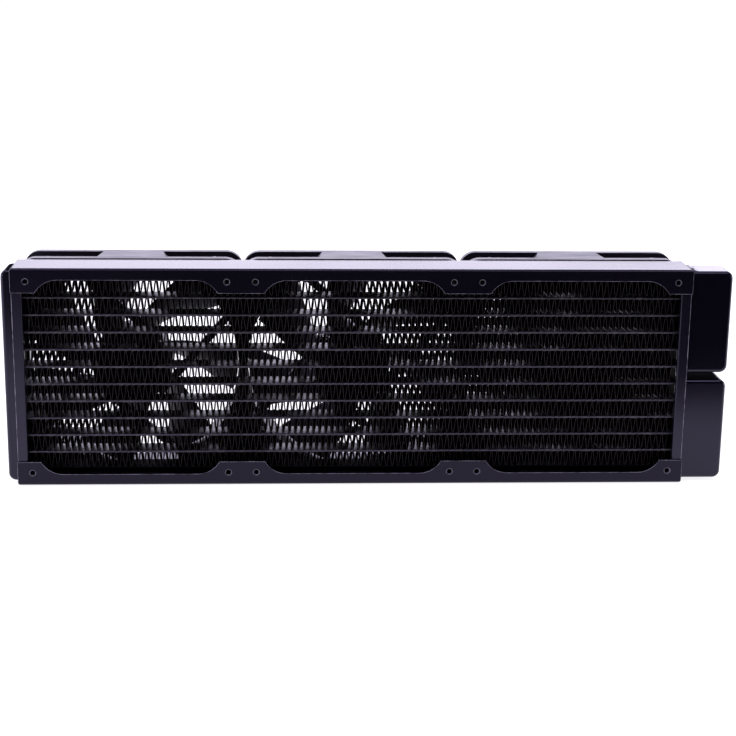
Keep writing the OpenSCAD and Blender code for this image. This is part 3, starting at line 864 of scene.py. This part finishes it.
def blade_rings(blade_y):
    """A blade's sections, from its thick root to its round tip."""
    rings = []
    for row in range(BLADE_ROWS + 1):
        u = 0.985 * row / BLADE_ROWS
        rings.append(blade_ring(u, blade_y, 1.0 + 1.4 * math.exp(-14.0 * u)))
    rings.append(blade_ring(0.995, blade_y, 0.8))
    rings.append(blade_ring(1.0, blade_y, 0.45))
    return rings


def hub_profile(hub_y0, hub_y1):
    """The hub's section: a cup open at hub_y0, a boss for the shaft, and a dished cap at hub_y1."""
    inner_r = HUB_R - HUB_WALL
    cap = hub_y1 - HUB_WALL
    profile = [(SHAFT_BORE_R, cap), (SHAFT_BORE_R, cap - BOSS_DEPTH)]
    profile += [(BOSS_R, cap - BOSS_DEPTH), (BOSS_R, cap)]
    profile += [(inner_r, cap), (inner_r, hub_y0), (HUB_R, hub_y0)]
    profile += arc(HUB_R - HUB_ROUND, hub_y1 - HUB_ROUND, HUB_ROUND, 0, 90, 8)
    return profile + [(16.6 * MM, hub_y1), (16.2 * MM, hub_y1 - CAP_DISH)]


def make_impeller(side, centre):
    node = f"{side}_fan_impeller"
    hub_y1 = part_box(node)[1].y
    hub_y0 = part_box(f"{side}_fan_yoke")[0].y - 0.8 * MM
    blade_y = (hub_y0 + hub_y1) / 2 + 0.1 * MM
    rings = blade_rings(blade_y)
    bm = bmesh.new()
    for blade in range(BLADES):
        turn = REST_ANGLE[side] + blade * 360.0 / BLADES
        points = [[around_y(centre, r, y, math.radians(a + turn)) for r, a, y in ring] for ring in rings]
        loops = add_ring_surface(bm, points)
        bm.faces.new(loops[0])
        bm.faces.new(loops[-1])
    lathe(bm, centre, hub_profile(hub_y0, hub_y1), 96)
    piece = new_piece(node + "_moulded", mesh_from(bm, node), node)
    even_shading(piece)


def make_fans():
    for side in SIDES:
        joint = next(j for j in frame["joints"] if j["child"] == side + "_rotor")
        make_impeller(side, Vector(joint["pos_m"]))
        rounded_copy(f"{side}_fan_frame", 0.35 * MM, angle=40.0)
        for part in ("yoke", "magnet", "shaft", "stator", "circuit_board"):
            paint_node(f"{side}_fan_{part}")
    paint_node("fan_bearings")
    paint_node("fan_windings")
    make_screws()


def paint_node(node):
    """Gives a CAD node that stays its detailed material."""
    mesh = NODES[node].data
    mesh.materials.clear()
    mesh.materials.append(MATERIALS[SLOT_OF[node]])


SCREW_STEPS = 24
RECESS_ARM = 1.45 * MM
RECESS_CORNER = 15.0
RECESS_DEPTH = 1.2 * MM
HEAD_R = 2.8 * MM
HEAD_CROWN = ((1.75, 0.1), (2.15, 0.24), (2.5, 0.5), (2.72, 0.85), (2.8, 1.2))
THREAD_PITCH = 0.5 * MM
THREAD_STEPS = 4


def recess_radius(step):
    """Distance from a screw's axis to the edge of its cross recess."""
    turn = abs((step * 360 / SCREW_STEPS + 45) % 90 - 45)
    if turn <= RECESS_CORNER:
        return RECESS_ARM / math.cos(math.radians(turn))
    side = RECESS_ARM * math.tan(math.radians(RECESS_CORNER))
    return side / math.sin(math.radians(turn))


def thread_radius(row, step):
    """Distance from a screw's axis to its helical thread."""
    phase = (row / THREAD_STEPS + step / SCREW_STEPS) % 1.0
    return 1.22 * MM + 0.26 * MM * (1.0 - abs(2.0 * phase - 1.0))


def screw_rings(top, head_y, tip_y):
    """A screw's surface from its recess over its head and down its thread, as rings of radii at a y."""
    def even(r):
        return [r] * SCREW_STEPS

    recess = [recess_radius(k) for k in range(SCREW_STEPS)]
    rings = [([0.55 * r for r in recess], top - RECESS_DEPTH), (recess, top - 0.06 * MM)]
    rings += [(even(r * MM), top - down * MM) for r, down in HEAD_CROWN]
    rings += [(even(HEAD_R), head_y + 0.15 * MM), (even(HEAD_R - 0.15 * MM), head_y)]
    rings += [(even(1.4 * MM), head_y)]
    rows = int((head_y - tip_y - 0.6 * MM) / THREAD_PITCH * THREAD_STEPS)
    for row in range(rows + 1):
        radii = [thread_radius(row, k) for k in range(SCREW_STEPS)]
        rings.append((radii, head_y - 0.3 * MM - row * THREAD_PITCH / THREAD_STEPS))
    return rings + [(even(0.9 * MM), tip_y)]


def make_screws():
    """Pan-head screws with a cross recess and a helical thread, each one closed surface."""
    lo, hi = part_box("fan_screws")
    rings = screw_rings(hi.y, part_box("middle_fan_frame")[1].y, lo.y)
    bm = bmesh.new()
    dice = random.Random(5)
    for x, z in hole_axes():
        turn = dice.uniform(0, math.pi)
        axis = Vector((x, 0.0, z))
        points = []
        for radii, y in rings:
            ring = [around_y(axis, r, y, turn + math.tau * k / SCREW_STEPS) for k, r in enumerate(radii)]
            points.append(ring)
        loops = add_ring_surface(bm, points)
        bm.faces.new(loops[0])
        bm.faces.new(loops[-1])
    piece = new_piece("fan_screws_turned", mesh_from(bm, "fan_screws"), "fan_screws")
    even_shading(piece)


# ---------------------------------------------------------------- stage

def make_floor():
    """A pale floor that runs to the horizon behind the object."""
    mesh = bpy.data.meshes.new("floor")
    far = 30.0
    mesh.from_pydata([(-far, -far, 0), (far, -far, 0), (far, far, 0), (-far, far, 0)], [], [(0, 1, 2, 3)])
    floor = bpy.data.objects.new("floor", mesh)
    floor.location.z = FLOOR_Z
    bpy.context.scene.collection.objects.link(floor)
    material, nodes, shader, place = new_material("floor")
    cloud = nodes.noise(place, 3.0, 2.0)
    grey = nodes.mix(nodes.spread(cloud, 0.0, 1.0), (0.50, 0.50, 0.51), (0.56, 0.56, 0.57))
    nodes.link(grey, shader.inputs["Base Color"])
    shader.inputs["Roughness"].default_value = 0.8
    shader.inputs["Specular IOR Level"].default_value = 0.1
    shader.inputs["Emission Color"].default_value = (1.0, 0.99, 1.0, 1.0)
    shader.inputs["Emission Strength"].default_value = 0.86
    mesh.materials.append(material)


def make_dark_card():
    """A black card on the floor before the object, seen only in reflections, as used for dark gloss."""
    mesh = bpy.data.meshes.new("card")
    near = [(-1.2, -0.56), (-0.25, -0.31), (0.2, -0.15), (1.2, -0.15)]
    far = [(1.2, -4.0), (-1.2, -4.0)]
    corners = [(x, y, 0) for x, y in near + far]
    mesh.from_pydata(corners, [], [tuple(reversed(range(len(corners))))])
    card = bpy.data.objects.new("card", mesh)
    card.location.z = FLOOR_Z + 1 * MM
    bpy.context.scene.collection.objects.link(card)
    material, _, shader, _ = new_material("card")
    shader.inputs["Base Color"].default_value = (0.004, 0.004, 0.005, 1.0)
    shader.inputs["Roughness"].default_value = 0.9
    shader.inputs["Specular IOR Level"].default_value = 0.0
    mesh.materials.append(material)
    card.visible_camera = False
    card.visible_diffuse = False
    card.visible_shadow = False
    card.visible_transmission = False


AIM = Vector((0.0, 0.0, 0.0))


def soft_light(name, place, size, radiance, colour):
    """A rectangular soft box that points at the object; radiance is its brightness, where 1 is white."""
    data = bpy.data.lights.new(name, "AREA")
    data.shape = "RECTANGLE"
    data.size, data.size_y = size
    data.energy = radiance * math.pi * size[0] * size[1]
    data.color = colour
    light = bpy.data.objects.new(name, data)
    light.location = place
    light.rotation_euler = (AIM - Vector(place)).to_track_quat("-Z", "Y").to_euler()
    bpy.context.scene.collection.objects.link(light)
    light.visible_camera = False


def make_lights():
    soft_light("back_box", (0.0, 1.35, 0.52), (2.8, 0.8), 3.1, (0.88, 0.84, 1.0))
    soft_light("top_box", (0.0, -0.50, 1.2), (1.6, 0.5), 3.2, (0.90, 0.87, 1.0))
    soft_light("left_box", (-1.2, -0.20, 0.12), (0.5, 0.5), 5.0, (0.92, 0.90, 1.0))
    soft_light("right_box", (1.2, -0.10, 0.12), (0.4, 0.5), 5.0, (0.92, 0.90, 1.0))


def make_world():
    """White behind the object; for light, a dim room that is brightest behind it, above and to the left."""
    world = bpy.data.worlds.new("world")
    bpy.context.scene.world = world
    world.use_nodes = True
    nodes = Nodes(world.node_tree)
    output = nodes.add("ShaderNodeOutputWorld")
    seen = nodes.add("ShaderNodeBackground")
    seen.inputs["Color"].default_value = (1, 1, 1, 1)
    seen.inputs["Strength"].default_value = 1.1
    around = nodes.add("ShaderNodeBackground")
    direction = nodes.add("ShaderNodeTexCoord").outputs["Generated"]
    towards = nodes.add("ShaderNodeVectorMath", operation="DOT_PRODUCT")
    towards.inputs[1].default_value = (-0.42, 0.42, 0.80)
    nodes.link(direction, towards.inputs[0])
    bright = nodes.spread(towards.outputs["Value"], 0.0, 1.0, 0.05, 0.95)
    nodes.link(nodes.mix(bright, (0.006, 0.005, 0.010), (0.55, 0.52, 0.68)), around.inputs["Color"])
    path = nodes.add("ShaderNodeLightPath")
    choose = nodes.add("ShaderNodeMixShader")
    nodes.link(path.outputs["Is Camera Ray"], choose.inputs[0])
    nodes.link(around.outputs[0], choose.inputs[1])
    nodes.link(seen.outputs[0], choose.inputs[2])
    nodes.link(choose.outputs[0], output.inputs["Surface"])


def make_stage():
    make_floor()
    make_dark_card()
    make_lights()
    make_world()
    view = bpy.context.scene.view_settings
    view.view_transform = "Standard"
    view.look = "None"
    view.exposure = 0.0


make_camera()
make_stage()
make_casing()
make_tanks()
make_core()
make_fans()
